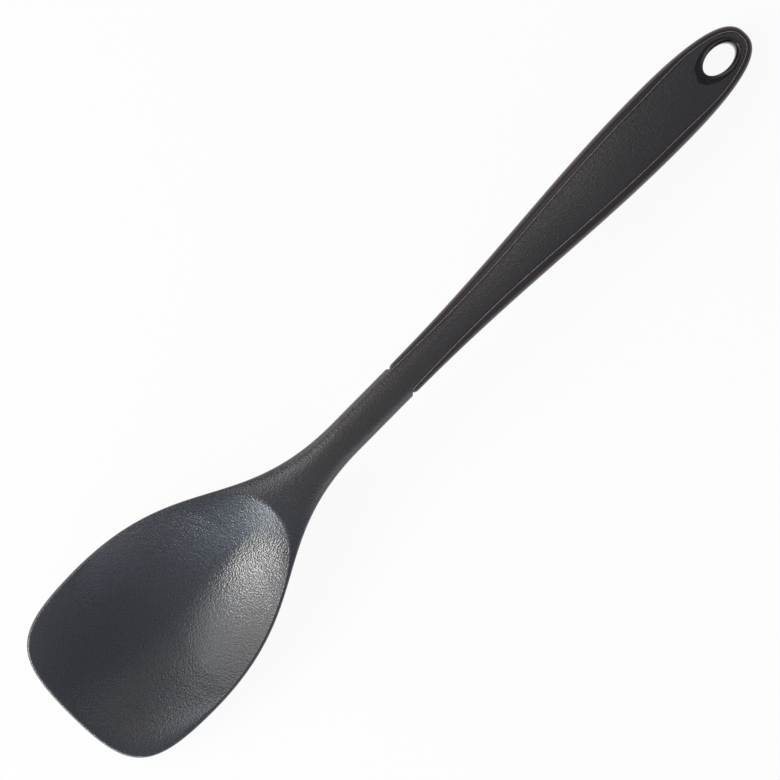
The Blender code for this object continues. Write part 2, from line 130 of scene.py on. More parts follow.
@dataclass
class Outline:
    """Half of the silhouette in plan, as (station, half width), read by its arc length.

    The reaches and bluntnesses are shares that say how far a curve's handles run towards its other end.
    """

    length: float
    bowl_width: float
    notch: float
    neck_width: float = 0.0129
    grip_width: float = 0.0242
    widest: float = 0.036
    waist: float = 0.1346
    grip_widest_from_tip: float = 0.042
    front_bluntness: float = 0.824
    front_reach: float = 0.846
    bowl_side_reach: float = 0.509
    waist_reach: float = 0.456
    grip_start_reach: float = 0.41
    grip_end_reach: float = 0.35
    tip_side_reach: float = 0.96
    tip_bluntness: float = 0.40

    def __post_init__(self) -> None:
        """Works out the points, their arc lengths and the normals that point inwards."""
        self.grip_widest = self.length - self.grip_widest_from_tip
        points = np.vstack(self._curves())
        self.points = points[np.append(True, np.hypot(*np.diff(points, axis=0).T) > MERGE)]
        steps = np.hypot(*np.diff(self.points, axis=0).T)
        self.arc = np.append(0, np.cumsum(steps))
        tangent = np.gradient(self.points, self.arc, axis=0)
        tangent[0], tangent[-1] = (0, 1), (0, -1)
        tangent /= np.hypot(*tangent.T)[:, None]
        self.normal = np.column_stack([tangent[:, 1], -tangent[:, 0]])

    def _curves(self) -> list[Array]:
        """The four curves: front edge, bowl's side down to the waist, grip and tip."""
        bowl, neck, grip = self.bowl_width / 2, self.neck_width / 2, self.grip_width / 2
        flank, swell = self.waist - self.widest, self.grip_widest - self.notch
        side_turn = (self.widest + self.bowl_side_reach * flank, bowl)
        waist_turn = (self.waist - self.waist_reach * flank, neck)
        swell_turn = (self.notch + self.grip_start_reach * swell, neck)
        full_turn = (self.grip_widest - self.grip_end_reach * swell, grip)
        tip_turn = (self.grip_widest + self.tip_side_reach * self.grip_widest_from_tip, grip)
        tip_end = (self.length, self.tip_bluntness * grip)
        front_turn = (self.widest * (1 - self.front_reach), bowl)
        return [
            bezier((0, 0), (0, self.front_bluntness * bowl), front_turn, (self.widest, bowl)),
            bezier((self.widest, bowl), side_turn, waist_turn, (self.waist, neck)),
            bezier((self.notch, neck), swell_turn, full_turn, (self.grip_widest, grip)),
            bezier((self.grip_widest, grip), tip_turn, tip_end, (self.length, 0)),
        ]

    def at(self, arc: Values) -> tuple[Array, Array]:
        """Points and inward normals at one or more arc lengths."""
        point = [np.interp(arc, self.arc, self.points[:, k]) for k in (0, 1)]
        normal = [np.interp(arc, self.arc, self.normal[:, k]) for k in (0, 1)]
        return np.array(point).T, np.array(normal).T

    def arc_at(self, station: float) -> float:
        """Arc length at a station."""
        return float(np.interp(station, self.points[:, 0], self.arc))

    def half_width(self, station: Values) -> Array:
        """Half of the spoon's width at these stations."""
        return np.interp(station, self.points[:, 0], self.points[:, 1])

    def distance(self, station: Values, y: Values) -> Array:
        """Distances inwards from the silhouette.

        Args:
            station: the points' stations.
            y: their places across.

        Returns:
            The distances.
        """
        points = np.column_stack([np.ravel(station), np.abs(np.ravel(y))])
        start, run = self.points[:-1], np.diff(self.points, axis=0)
        offset = points[:, None] - start
        share = np.clip((offset * run).sum(-1) / (run * run).sum(-1), 0, 1)
        nearest = np.sqrt(((offset - share[..., None] * run) ** 2).sum(-1)).min(1)
        return nearest.reshape(np.shape(station))


@dataclass
class SpoonForm:
    """The heights that all three pieces are moulded to, over the outline's plan."""

    length: float = CAD_HIGH.x - CAD_LOW.x
    bowl_width: float = CAD_HIGH.y - CAD_LOW.y
    notch: float = BAND_LOW.x - CAD_LOW.x
    bowl_length: float = 0.0999
    crease_bend: float = 0.0161
    deepest: float = 0.044
    crest_behind_notch: float = 0.006
    front_edge: float = 0.0080
    side_edge: float = 0.0122
    shoulder_edge: float = 0.0172
    waist_edge: float = 0.0242
    crest_edge: float = 0.02557
    handle_edge: float = 0.0188
    bowl_wall: float = 0.0026
    lip_thickness: float = 0.0020
    lip_width: float = 0.0010
    neck_root_thickness: float = 0.0072
    neck_thickness: float = 0.0086
    grip_thickness: float = 0.0104
    tip_thickness: float = 0.0080
    tip_edge_drop: float = 0.0007
    grip_rounding: float = 0.0046
    grip_rounding_run: float = 0.0400
    panel_crown: float = 0.0009
    rest_flat_depth: float = 0.0006
    neck_fillet: float = 0.0060
    floor_power: float = 1.9
    hollow_power: float = 2.0
    valley_power: float = 1.4
    crease_lift_power: float = 3.0
    neck_squareness: float = 2.3

    def __post_init__(self) -> None:
        """Works out the outline and the stations that follow from the sizes."""
        self.outline = Outline(self.length, self.bowl_width, self.notch)
        self.crease_side = self.bowl_length - self.crease_bend
        self.waist = self.outline.waist

    def edge_height(self, station: Values) -> Array:
        """Height of the silhouette's edge, which arches from the bowl over the neck to the tip."""
        crest = self.notch + self.crest_behind_notch
        stations = (0, self.outline.widest, self.crease_side, self.waist, crest, (crest + self.length) / 2)
        heights = (self.front_edge, self.side_edge, self.shoulder_edge, self.waist_edge, self.crest_edge)
        tip = self.tip_thickness / 2 - self.tip_edge_drop
        return monotone_curve(station, (*stations, self.length), (*heights, self.handle_edge, tip))

    def half_thickness(self, station: Values) -> Array:
        """Half the thickness of the neck and the handle along the centre line."""
        widest = self.outline.grip_widest
        stations = (self.crease_side, self.bowl_length, self.waist, self.notch, widest, self.length)
        neck, grip = self.neck_thickness, self.grip_thickness
        thickness = (self.lip_thickness, self.neck_root_thickness, neck, neck, grip, self.tip_thickness)
        return monotone_curve(station, stations, thickness) / 2

    def neck_share(self, station: Values) -> Array:
        """0 over the bowl, where the section is a thin shell, and 1 from the waist on, where it is round."""
        return monotone_curve(station, (self.crease_side, self.waist), (0, 1))

    def round_section(self, station: Values, inset: Values) -> Array:
        """Share of the neck's or handle's half thickness that is reached at an inset."""
        run = (self.notch, self.notch + self.grip_rounding_run)
        on_grip = monotone_curve(station, run, (self.outline.neck_width / 2, self.grip_rounding))
        half_width = np.maximum(self.outline.half_width(station), self.lip_width)
        rounding = np.where(np.asarray(station) > self.notch, on_grip, half_width)
        depth = np.clip(inset / rounding, 0, 1)
        return (1 - (1 - depth) ** self.neck_squareness) ** (1 / self.neck_squareness)

    def inset_at(self, station: Values, y: Values) -> Array:
        """Inset of points in plan, taken straight across the spoon up to the notch."""
        across = self.outline.half_width(station) - np.abs(y)
        return np.where(np.asarray(station) > self.notch, self.outline.distance(station, y), across)

    def section_power(self, station: Values) -> Array:
        """How flat the bowl's section is: round at its widest place, and nearer a V towards the crease."""
        run = (self.outline.widest, self.crease_side)
        return monotone_curve(station, run, (self.hollow_power, self.valley_power))

    def section_rise(self, station: Values, y: Values, middle: Values, power: Values) -> Array:
        """Rise from the edge to a face of the shell, the neck or the handle.

        Args:
            station: the points' stations.
            y: their places across.
            middle: the rise that the face reaches on the centre line.
            power: how flat the shell's section is.

        Returns:
            The rises.
        """
        inset, lip = self.inset_at(station, y), self.lip_thickness / 2
        inside = np.maximum(self.outline.half_width(station) - self.lip_width, self.lip_width)
        across = np.clip(1 - (inset - self.lip_width) / inside, 0, 1)
        shell = lip + (middle - lip) * (1 - across**power)
        share = self.neck_share(station)
        fall = self.crown_fall(station, inset)
        return shell * (1 - share) + (middle - fall) * self.round_section(station, inset) * share

    def crown_fall(self, station: Values, inset: Values) -> Array:
        """Fall of the handle's slightly crowned faces towards their sides."""
        on_grip = monotone_curve(station, (self.notch, self.notch + self.grip_rounding_run), (0, 1))
        half_width = np.maximum(self.outline.half_width(station), self.lip_width)
        return self.panel_crown * on_grip * np.clip(1 - inset / half_width, 0, 1) ** 2

    def bowl_curve(self, way: Values, floor: float, front: float, rear: float) -> Array:
        """Height along the bowl's middle: floor at its deepest place, front and rear at way -1 and 1."""
        end = np.where(np.asarray(way) < 0, front, rear)
        return floor + (end - floor) * np.abs(way) ** self.floor_power

    def underside_fall(self, station: Values) -> Array:
        """Fall from the edge to the underside on the centre line, where the hull runs into the neck."""
        ahead = (station - self.deepest) / (self.deepest - self.lip_width)
        behind = (station - self.deepest) / (self.bowl_length + self.bowl_wall - self.deepest)
        way = np.clip(np.where(ahead < 0, ahead, behind), -1, 1)
        front = self.edge_height(0) - self.lip_thickness / 2
        rear = self.top_height(self.bowl_length, 0.0)
        hull = self.edge_height(station) - self.bowl_curve(way, -self.rest_flat_depth, front, rear)
        hull = np.where(way < 1, hull, -self.neck_fillet)
        neck = self.half_thickness(station)
        blend = np.maximum(self.neck_fillet - np.abs(hull - neck), 0) ** 2 / (4 * self.neck_fillet)
        return np.maximum(hull, neck) + np.where(station > self.deepest, blend, 0)

    def top_height(self, station: Values, y: Values) -> Array:
        """Top face of the neck and the handle."""
        rise = self.section_rise(station, y, self.half_thickness(station), self.hollow_power)
        return self.edge_height(station) + rise

    def bottom_height(self, station: Values, y: Values) -> Array:
        """Underside of the whole spoon, flat where it rests on the table."""
        fall = self.section_rise(station, y, self.underside_fall(station), self.section_power(station))
        return np.maximum(self.edge_height(station) - fall, 0)

    def hollow_height(self, station: Array, y: Array, across: Array, way: float) -> Array:
        """Inside of the bowl along a row.

        Args:
            station: the points' stations.
            y: their places across.
            across: their shares of the way from the centre line to the lip.
            way: the row's place, -1 on the front lip and 1 on the crease.

        Returns:
            The heights.
        """
        rim = self.edge_height(station) + self.lip_thickness / 2
        rim = rim + (self.top_height(station, y) - rim) * max(way, 0) ** self.crease_lift_power
        front = self.edge_height(0) + self.lip_thickness / 2
        floor = self.bowl_curve(way, self.bowl_wall, front, self.top_height(self.bowl_length, 0.0))
        return rim - (rim[len(rim) // 2] - floor) * (1 - across ** self.section_power(station))

    def border_share(self, station: float, turn: float) -> float:
        """Share of the border's rise at a turn of its rounding, which is 1 after a quarter turn."""
        inset = self.lip_width * (1 - math.cos(turn))
        round_neck = self.round_section(station, inset) / self.round_section(station, self.lip_width)
        share = self.neck_share(station)
        return float(math.sin(turn) * (1 - share) + round_neck * share)

    def place(self, station: float, y: float, z: float) -> Point:
        """A point of the model, from a station, a distance across and a height."""
        return float(station + CAD_LOW.x), float(y), float(z)


class Cut(Enum):
    """Whether a shape is the piece itself or the slightly larger space that the body leaves for it."""

    PIECE = 0.0
    SPACE = 0.00004

    @property
    def growth(self) -> float:
        """How far the shape grows beyond the piece."""
        return self.value


def take_up(*pieces: Object) -> None:
    """Selects these objects alone and makes the first one active."""
    bpy.ops.object.select_all(action="DESELECT")
    for piece in pieces:
        piece.select_set(True)
    bpy.context.view_layer.objects.active = pieces[0]


def pressed_grid(name: str, points: Array) -> Object:
    """A grid primitive pressed to shape, as a sheet is in a mould.

    No operator follows two crossing curves, so each of the grid's points goes straight to its place.

    Args:
        name: the object's name.
        points: an array of rows by columns of places. Places that coincide become one point.

    Returns:
        The sheet, with its place in its mesh.
    """
    rows, columns = points.shape[:2]
    bpy.ops.mesh.primitive_grid_add(x_subdivisions=columns - 1, y_subdivisions=rows - 1)
    sheet = bpy.context.object
    sheet.name = sheet.data.name = name
    sheet.data.vertices.foreach_set("co", points.astype(np.float32).ravel())
    sheet.data.update()
    close_up(sheet)
    return sheet


def close_up(piece: Object) -> None:
    """Merges doubled points, drops faces of no area and turns all faces outwards."""
    take_up(piece)
    bpy.ops.object.mode_set(mode="EDIT")
    bpy.ops.mesh.select_all(action="SELECT")
    bpy.ops.mesh.remove_doubles(threshold=MERGE)
    bpy.ops.mesh.dissolve_degenerate(threshold=MERGE)
    bpy.ops.mesh.normals_make_consistent(inside=False)
    bpy.ops.object.mode_set(mode="OBJECT")


def cap_ends(piece: Object) -> None:
    """Fills each open end of a piece with one face and closes it up again."""
    take_up(piece)
    bpy.ops.object.mode_set(mode="EDIT")
    bpy.ops.mesh.select_mode(type="EDGE")
    bpy.ops.mesh.select_all(action="DESELECT")
    bpy.ops.mesh.select_non_manifold(extend=False, use_wire=False, use_multi_face=False, use_verts=False)
    bpy.ops.mesh.fill_holes(sides=0)
    bpy.ops.object.mode_set(mode="OBJECT")
    close_up(piece)


def cut_away(piece: Object, space: Object) -> None:
    """Takes a space out of a piece and throws the space away.

    Args:
        piece: what is cut.
        space: a closed mesh that crosses the piece.
    """
    take_up(piece)
    cut = piece.modifiers.new("Cut", "BOOLEAN")
    cut.operation, cut.solver, cut.object = "DIFFERENCE", "EXACT", space
    bpy.ops.object.modifier_apply(modifier=cut.name)
    bpy.data.objects.remove(space)


def shade(piece: Object, angle: float = 180.0) -> None:
    """Shades a piece smooth, except along edges sharper than the angle in degrees, if one is given."""
    take_up(piece)
    bpy.ops.object.shade_smooth_by_angle(angle=math.radians(angle))


@dataclass
class Row:
    """One row of the body's plan grid, from one side to the other.

    way is -1 on the front lip and 1 on the crease, and None behind it. edges and normals are the silhouette
    beside its ends, or beside all of its points on the first and the last row.
    """

    station: Array
    y: Array
    way: float | None
    edges: Array
    normals: Array

    def silhouette(self, column: int) -> tuple[Array, Array]:
        """The silhouette's point and inward normal beside a column."""
        middle = len(self.station) // 2
        k = abs(column - middle) if len(self.edges) > 1 else 0
        flip = np.array([1, -1 if column < middle else 1])
        return self.edges[k] * flip, self.normals[k] * flip


@dataclass
class SpoonBody:
    """The matt moulding: bowl, neck and the handle's core, with room for the band and the liner."""

    form: SpoonForm
    half_columns: int = 30
    border_steps: int = 6
    front_rows: int = 42
    rear_rows: int = 52
    root_rows: int = 26
    neck_rows: int = 26
    grip_rows: int = 60
    tip_rows: int = 40
    crease_power: float = 2.4
    front_corner_share: float = 0.52
    tip_corner_share: float = 0.42
    sharp_angle: float = 32.0

    def __post_init__(self) -> None:
        """Spaces the columns closer together towards the sides."""
        self.spread = np.sin(np.linspace(0, math.pi / 2, self.half_columns + 1))
        self.across = self._both_sides(self.spread, 1)

    @staticmethod
    def _both_sides(half: Array, sign: int) -> Array:
        """Values from the centre outwards, mirrored to a whole row."""
        return np.append(sign * half[:0:-1], half)

    def _row(self, middle: float, arc: float, bend: Array, spread: Array, way: float | None) -> Row:
        """A row whose points bend from its middle to its ends.

        Args:
            middle: the station on the centre line.
            arc: the ends' place by arc length.
            bend: each point's share of the way to the ends' station.
            spread: each point's share of the way across.
            way: the row's place in the bowl, if it is there.

        Returns:
            The row.
        """
        edges, normals = self.form.outline.at(np.array([arc]))
        side = edges[0] + normals[0] * self.form.lip_width
        station = self._both_sides(middle + (side[0] - middle) * bend, 1)
        return Row(station, self._both_sides(side[1] * spread, -1), way, edges, normals)

    def _end_row(self, arcs: Array, way: float | None) -> Row:
        """A row that follows the front edge or the tip, just inside it."""
        edges, normals = self.form.outline.at(arcs)
        inner = edges + normals * self.form.lip_width
        return Row(self._both_sides(inner[:, 0], 1), self._both_sides(inner[:, 1], -1), way, edges, normals)

    @staticmethod
    def _shape_of(row: Row) -> Shape:
        """Bend and spread of an end row's half, as shares."""
        middle = len(row.station) // 2
        station, y = row.station[middle:], row.y[middle:]
        return (station - station[0]) / (station[-1] - station[0]), y / y[-1]

    def rows(self) -> list[Row]:
        """All rows from the front edge to the tip."""
        form, outline = self.form, self.form.outline
        tip_end = outline.arc[-1]
        tip_side = tip_end - self.tip_corner_share * (tip_end - outline.arc_at(outline.grip_widest))
        front_side = self.front_corner_share * outline.arc_at(outline.widest)
        columns = self.half_columns + 1
        first = self._end_row(np.linspace(0, front_side, columns), -1)
        last = self._end_row(np.linspace(tip_end, tip_side, columns), None)
        crease_shape = (self.spread**self.crease_power, self.spread)
        front_shape, tip_shape = self._shape_of(first), self._shape_of(last)
        alike = (crease_shape, crease_shape)

        def straight(station: float) -> Pair:
            """A place whose row runs straight across."""
            return station, outline.arc_at(station)

        front = (first.station[len(first.station) // 2], front_side)
        tip = (last.station[len(last.station) // 2], tip_side)
        deep, notch, widest = straight(form.deepest), straight(form.notch), straight(outline.grip_widest)
        crease = (form.bowl_length, outline.arc_at(form.crease_side))
        root = straight((form.bowl_length + form.waist) / 2)
        found = [first]
        found += self._between(self.front_rows, front, deep, (front_shape, crease_shape), (-1, 0))[1:]
        found += self._between(self.rear_rows, deep, crease, alike, (0, 1))
        found += self._between(self.root_rows, crease, root, alike)
        found += self._between(self.neck_rows, root, notch, alike)
        found += self._between(self.grip_rows, notch, widest, alike)
        found += self._between(self.tip_rows, widest, tip, (crease_shape, tip_shape))
        return found + [last]

    def _between(
        self, count: int, start: Pair, end: Pair, shapes: tuple[Shape, Shape], ways: Pair | None = None
    ) -> list[Row]:
        """Rows from one place up to another, without the last.

        Args:
            count: how many rows.
            start: the first row's middle station and its side's arc length.
            end: the same for the row that follows the last one.
            shapes: (bend, spread) at the start and at the end.
            ways: the way at the start and at the end, inside the bowl.

        Returns:
            The rows in order.
        """
        found = []
        for t in np.arange(count) / count:
            middle, arc = (a * (1 - t) + b * t for a, b in zip(start, end))
            bend, spread = (a * (1 - t) + b * t for a, b in zip(*shapes))
            way = None if ways is None else ways[0] * (1 - t) + ways[1] * t
            found.append(self._row(middle, arc, bend, spread, way))
        return found

    def _top(self, row: Row) -> Array:
        """Heights of the upper face along a row."""
        if row.way is None:
            return self.form.top_height(row.station, row.y)
        return self.form.hollow_height(row.station, row.y, self.across, row.way)

    def _bottom(self, row: Row) -> Array:
        """Heights of the underside along a row."""
        return self.form.bottom_height(row.station, row.y)

    def sheet(self, name: str, rows: Sequence[Row], face: Callable[[Row], Array]) -> Object:
        """Half of the body, from its middle out over the rounded border to the silhouette.

        Args:
            name: the sheet's name.
            rows: the plan's rows.
            face: gives the heights along a row.

        Returns:
            The sheet, open along the silhouette.
        """
        steps, columns = self.border_steps, len(self.across)
        heights = [face(row) for row in rows]
        points = np.empty((len(rows) + 2 * steps, columns + 2 * steps, 3))
        for i in range(-steps, len(rows) + steps):
            r = min(max(i, 0), len(rows) - 1)
            for j in range(-steps, columns + steps):
                c = min(max(j, 0), columns - 1)
                ring = max(abs(i - r), abs(j - c))
                points[i + steps, j + steps] = self._point(rows[r], c, heights[r][c], ring)
        return pressed_grid(name, points)

    def _point(self, row: Row, column: int, height: float, ring: int) -> Point:
        """A point of a sheet, or of its border.

        Args:
            row: the point's row, or the row beside it.
            column: its column, or the column beside it.
            height: the face's height there.
            ring: steps out into the border, 0 on the face itself.

        Returns:
            The point.
        """
        form = self.form
        if ring == 0:
            return form.place(row.station[column], row.y[column], height)
        turn = math.pi / 2 * (1 - ring / self.border_steps)
        edge, normal = row.silhouette(column)
        base = float(form.edge_height(edge[0]))
        plan = edge + normal * form.lip_width * (1 - math.cos(turn))
        return form.place(*plan, base + (height - base) * form.border_share(edge[0], turn))

    def build(self, spaces: Sequence[Object]) -> Object:
        """Presses both sheets, joins them along the silhouette and cuts the spaces out.

        Args:
            spaces: what the band and the liner fill.

        Returns:
            The finished body.
        """
        rows = self.rows()
        body = self.sheet("moulded_body", rows, self._top)
        under = self.sheet("underside", rows, self._bottom)
        take_up(body, under)
        bpy.ops.object.join()
        close_up(body)
        for space in spaces:
            cut_away(body, space)
        shade(body, self.sharp_angle)
        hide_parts("spoon_core")
        return body


@dataclass
class GripBand:
    """The glossy band that wraps the handle's edge from a slanted notch on one side to the other."""

    form: SpoonForm
    start_width: float = 0.0017
    grip_width: float = 0.0034
    tip_width: float = 0.0023
    widening_run: float = 0.0600
    narrowing_run: float = 0.0250
    hole_start_from_tip: float = 0.02015
    proud: float = 0.0003
    skin: float = 0.0010
    rail_thickness: float = 0.0024
    notch_depth: float = 0.0009
    notch_length: float = 0.0030
    squareness: float = 0.60
    overshoot: float = 0.0030
    bead_radius: float = 0.00016
    bead_sides: int = 12
    outside_steps: int = 16
    notch_rows: int = 12
    grip_rows: int = 110
    tip_rows: int = 70
    sharp_angle: float = 40.0

    def width(self, station: float) -> float:
        """Visible width of the band, from the silhouette to the matt panel."""
        hole = self.form.length - self.hole_start_from_tip
        stations = (self.form.notch, self.form.notch + self.widening_run, hole - self.narrowing_run, hole)
        widths = (self.start_width, self.grip_width, self.grip_width, self.tip_width)
        return float(monotone_curve(station, stations, widths))

    def _outside(self, width: float, rise: float, set_back: float) -> list[Pair]:
        """The section's outer face as (inset, height) points, from the upper panel to the lower one.

        Args:
            width: the band's visible width.
            rise: how far the panel beside it lies above the edge's middle.
            set_back: how far the outer edge lies inside the silhouette.

        Returns:
            The points in order.
        """
        top = rise + self.proud - self.bead_radius / 2
        upper = []
        for turn in np.linspace(math.pi / 2, 0, self.outside_steps + 1):
            inset = width - (width - set_back) * math.cos(turn) ** self.squareness
            upper.append((inset, top * math.sin(turn) ** self.squareness))
        return upper + [(inset, -height) for inset, height in upper[-2::-1]]

    def _lay(self, arc: float, start: float, points: Section, cut: Cut) -> Array:
        """Sets the points of one section upright at its place along the silhouette.

        Args:
            arc: the section's place by arc length.
            start: the arc length at the notch.
            points: gives the section's points.
            cut: whether it belongs to the piece or to the space.

        Returns:
            The points in the model.
        """
        edge, normal = self.form.outline.at(arc)
        along = np.array((-normal[1], normal[0]))
        along *= 1 if along[0] >= 0 else -1
        width = self.width(edge[0])
        inner = edge + normal * width
        rise = float(self.form.top_height(inner[0], inner[1]) - self.form.edge_height(inner[0]))
        ahead = max(0.0, 1 - (arc - start) / self.notch_length)
        section = []
        for inset, height in points(width, rise, ahead):
            plan = edge + normal * inset + along * ahead * (inset - cut.growth)
            level = float(self.form.edge_height(plan[0])) + height
            section.append(self.form.place(*plan, level if cut is Cut.SPACE else max(level, 0.0)))
        return np.array(section)

    def _space_section(self, width: float, rise: float, _ahead: float) -> list[Pair]:
        """Section of the space that the body leaves for the band."""
        grown, tall, rail = width + Cut.SPACE.growth, rise + self.overshoot, self.rail_thickness / 2
        outside = [(grown, tall), (-self.overshoot, tall), (-self.overshoot, -tall), (grown, -tall)]
        groove = [(grown, -rail), (self.skin, -rail), (self.skin, rail), (grown, rail)]
        return outside + groove + outside[:1]

    def _band_section(self, width: float, rise: float, ahead: float) -> list[Pair]:
        """Section of the band itself."""
        skin, rail = self.skin - Cut.SPACE.growth, self.rail_thickness / 2 + Cut.SPACE.growth
        outside = self._outside(width, rise, self.notch_depth * ahead**2)
        return outside + [(width, -rail), (skin, -rail), (skin, rail), (width, rail)] + outside[:1]

    def _bead_section(self, side: int, width: float, rise: float, _ahead: float) -> list[Pair]:
        """Section of the bead along the band's inner edge, on the upper or the lower face."""
        radius, turns = self.bead_radius, np.linspace(0, 2 * math.pi, self.bead_sides + 1)
        inset, height = width - radius, side * (rise + self.proud - radius)
        return [(inset + radius * math.cos(turn), height + radius * math.sin(turn)) for turn in turns]

    def _run(self, name: str, points: Section, cut: Cut) -> Object:
        """A closed run of sections from notch to notch round the tip.

        Args:
            name: the run's name.
            points: gives the points of each section.
            cut: whether the run is a piece or a space.

        Returns:
            The run.
        """
        outline = self.form.outline
        start, turn = outline.arc_at(self.form.notch), outline.arc_at(outline.grip_widest)
        opening = np.linspace(start, start + self.notch_length, self.notch_rows)
        along = np.linspace(opening[-1], turn, self.grip_rows)[1:]
        round_tip = np.linspace(turn, outline.arc[-1], self.tip_rows)[1:]
        near = [self._lay(arc, start, points, cut) for arc in np.concatenate([opening, along, round_tip])]
        far = [section * (1, -1, 1) for section in near[-2::-1]]
        run = pressed_grid(name, np.array(near + far))
        cap_ends(run)
        return run

    def shape(self, name: str, cut: Cut) -> Object:
        """The band, or the space that it fills."""
        return self._run(name, self._space_section if cut is Cut.SPACE else self._band_section, cut)

    def build(self) -> Object:
        """Makes the finished band."""
        band = self.shape("gloss_band", Cut.PIECE)
        shade(band, self.sharp_angle)
        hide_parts("grip_band")
        return band

    def build_bead(self) -> Object:
        """Makes the fine bead that the mould left along the band's inner edge, on both faces."""
        beads = [self._run("band_bead", partial(self._bead_section, side), Cut.PIECE) for side in (1, -1)]
        take_up(*beads)
        bpy.ops.object.join()
        shade(beads[0])
        return beads[0]


@dataclass
class HoleLiner:
    """The glossy oval ring of the hanging hole, dished on the side towards the bowl."""

    form: SpoonForm
    centre_from_tip: float = 0.0130
    hole_length: float = 0.0143
    hole_reach: float = 0.0005
    hole_width: float = 0.0084
    wall: float = 0.0012
    lip_thickness: float = 0.0021
    dish_to_bowl: float = 0.0045
    dish_to_side: float = 0.0020
    dish_to_tip: float = 0.0012
    dish_drop: float = 0.0014
    overshoot: float = 0.0030
    turns: int = 120
    dish_steps: int = 12
    sharp_angle: float = 45.0

    def _oval(self, turn: float, share: float, sleeve: float) -> Pair:
        """A point round the hole in plan.

        Args:
            turn: the angle from the tip.
            share: 0 on the hole's edge and 1 on the dish's outer edge.
            sleeve: a further distance outwards, the same all round.

        Returns:
            Its station and its distance across.
        """
        along, aside = math.cos(turn), math.sin(turn)
        end = (self.dish_to_tip if along > 0 else self.dish_to_bowl) * share + sleeve
        end += self.hole_reach * (along < 0) * (1 - share)
        side = self.dish_to_side * share + sleeve
        centre = self.form.length - self.centre_from_tip
        return centre + (self.hole_length / 2 + end) * along, (self.hole_width / 2 + side) * aside

    def _half_section(self, turn: float, side: int, cut: Cut) -> list[Point]:
        """The section's upper or lower half, from the hole's wall over the dish and back under the lip.

        Args:
            turn: the angle from the tip.
            side: 1 for the upper half and -1 for the lower one.
            cut: whether it belongs to the ring or to its space.

        Returns:
            Its points as (station, y, height).
        """
        face = self.form.top_height if side > 0 else self.form.bottom_height
        outer = self._oval(turn, 1, cut.growth)
        surface = float(face(*outer))
        under = surface - side * (self.lip_thickness + cut.growth)
        points = []
        if cut is Cut.SPACE:
            points.append((*outer, surface + side * self.overshoot))
        else:
            for share in np.linspace(0, 1, self.dish_steps + 1):
                drop = self.dish_drop * (1 - math.sin(share * math.pi / 2))
                points.append((*self._oval(turn, share, 0), surface - side * drop))
        return points + [(*outer, under), (*self._oval(turn, 0, self.wall + cut.growth), under)]

    def shape(self, name: str, cut: Cut) -> Object:
        """The ring, or the plug of space that it fills."""
        rings = []
        for turn in np.linspace(0, 2 * math.pi, self.turns + 1)[:-1]:
            upper, lower = (self._half_section(turn, side, cut) for side in (1, -1))
            section = upper + lower[::-1]
            if cut is Cut.PIECE:
                section += section[:1]
            rings.append([self.form.place(*point) for point in section])
        ring = pressed_grid(name, np.array(rings + rings[:1]))
        if cut is Cut.SPACE:
            cap_ends(ring)
        return ring

    def build(self) -> Object:
        """Makes the finished liner."""
        liner = self.shape("hole_ring", Cut.PIECE)
        shade(liner, self.sharp_angle)
        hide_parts("hole_liner")
        return liner


def linear(colour: str) -> tuple[float, float, float, float]:
    """An sRGB hex colour as the linear colour that a shader takes."""
    values = [int(colour[k : k + 2], 16) / 255 for k in (1, 3, 5)]
    low_end, slope, offset, power = 0.04045, 12.92, 0.055, 2.4
    return (*(v / slope if v <= low_end else ((v + offset) / (1 + offset)) ** power for v in values), 1.0)


def plug_in(node: Node, sockets: dict) -> None:
    """Gives a node's inputs, by name or number, their values or the outputs that feed them."""
    for name, value in sockets.items():
        if isinstance(value, NodeSocket):
            node.id_data.links.new(value, node.inputs[name])
        else:
            node.inputs[name].default_value = value


def add_node(tree: NodeTree, kind: str, sockets: dict | None = None, **settings: object) -> Node:
    """Adds a node to a tree.

    Args:
        tree: the node tree.
        kind: the node's type, without its ShaderNode prefix.
        sockets: for an input's name or number, its value or the output that feeds it.
        settings: the node's own properties.

    Returns:
        The new node.
    """
    node = tree.nodes.new("ShaderNode" + kind)
    for name, value in settings.items():
        setattr(node, name, value)
    plug_in(node, sockets or {})
    return node


def new_material(name: str) -> tuple[Material, NodeTree, Node]:
    """Makes a material.

    Args:
        name: the material's name.

    Returns:
        It, its node tree and its Principled shader.
    """
    material = bpy.data.materials.new(name)
    material.use_nodes = True
    tree = material.node_tree
    return material, tree, tree.nodes["Principled BSDF"]


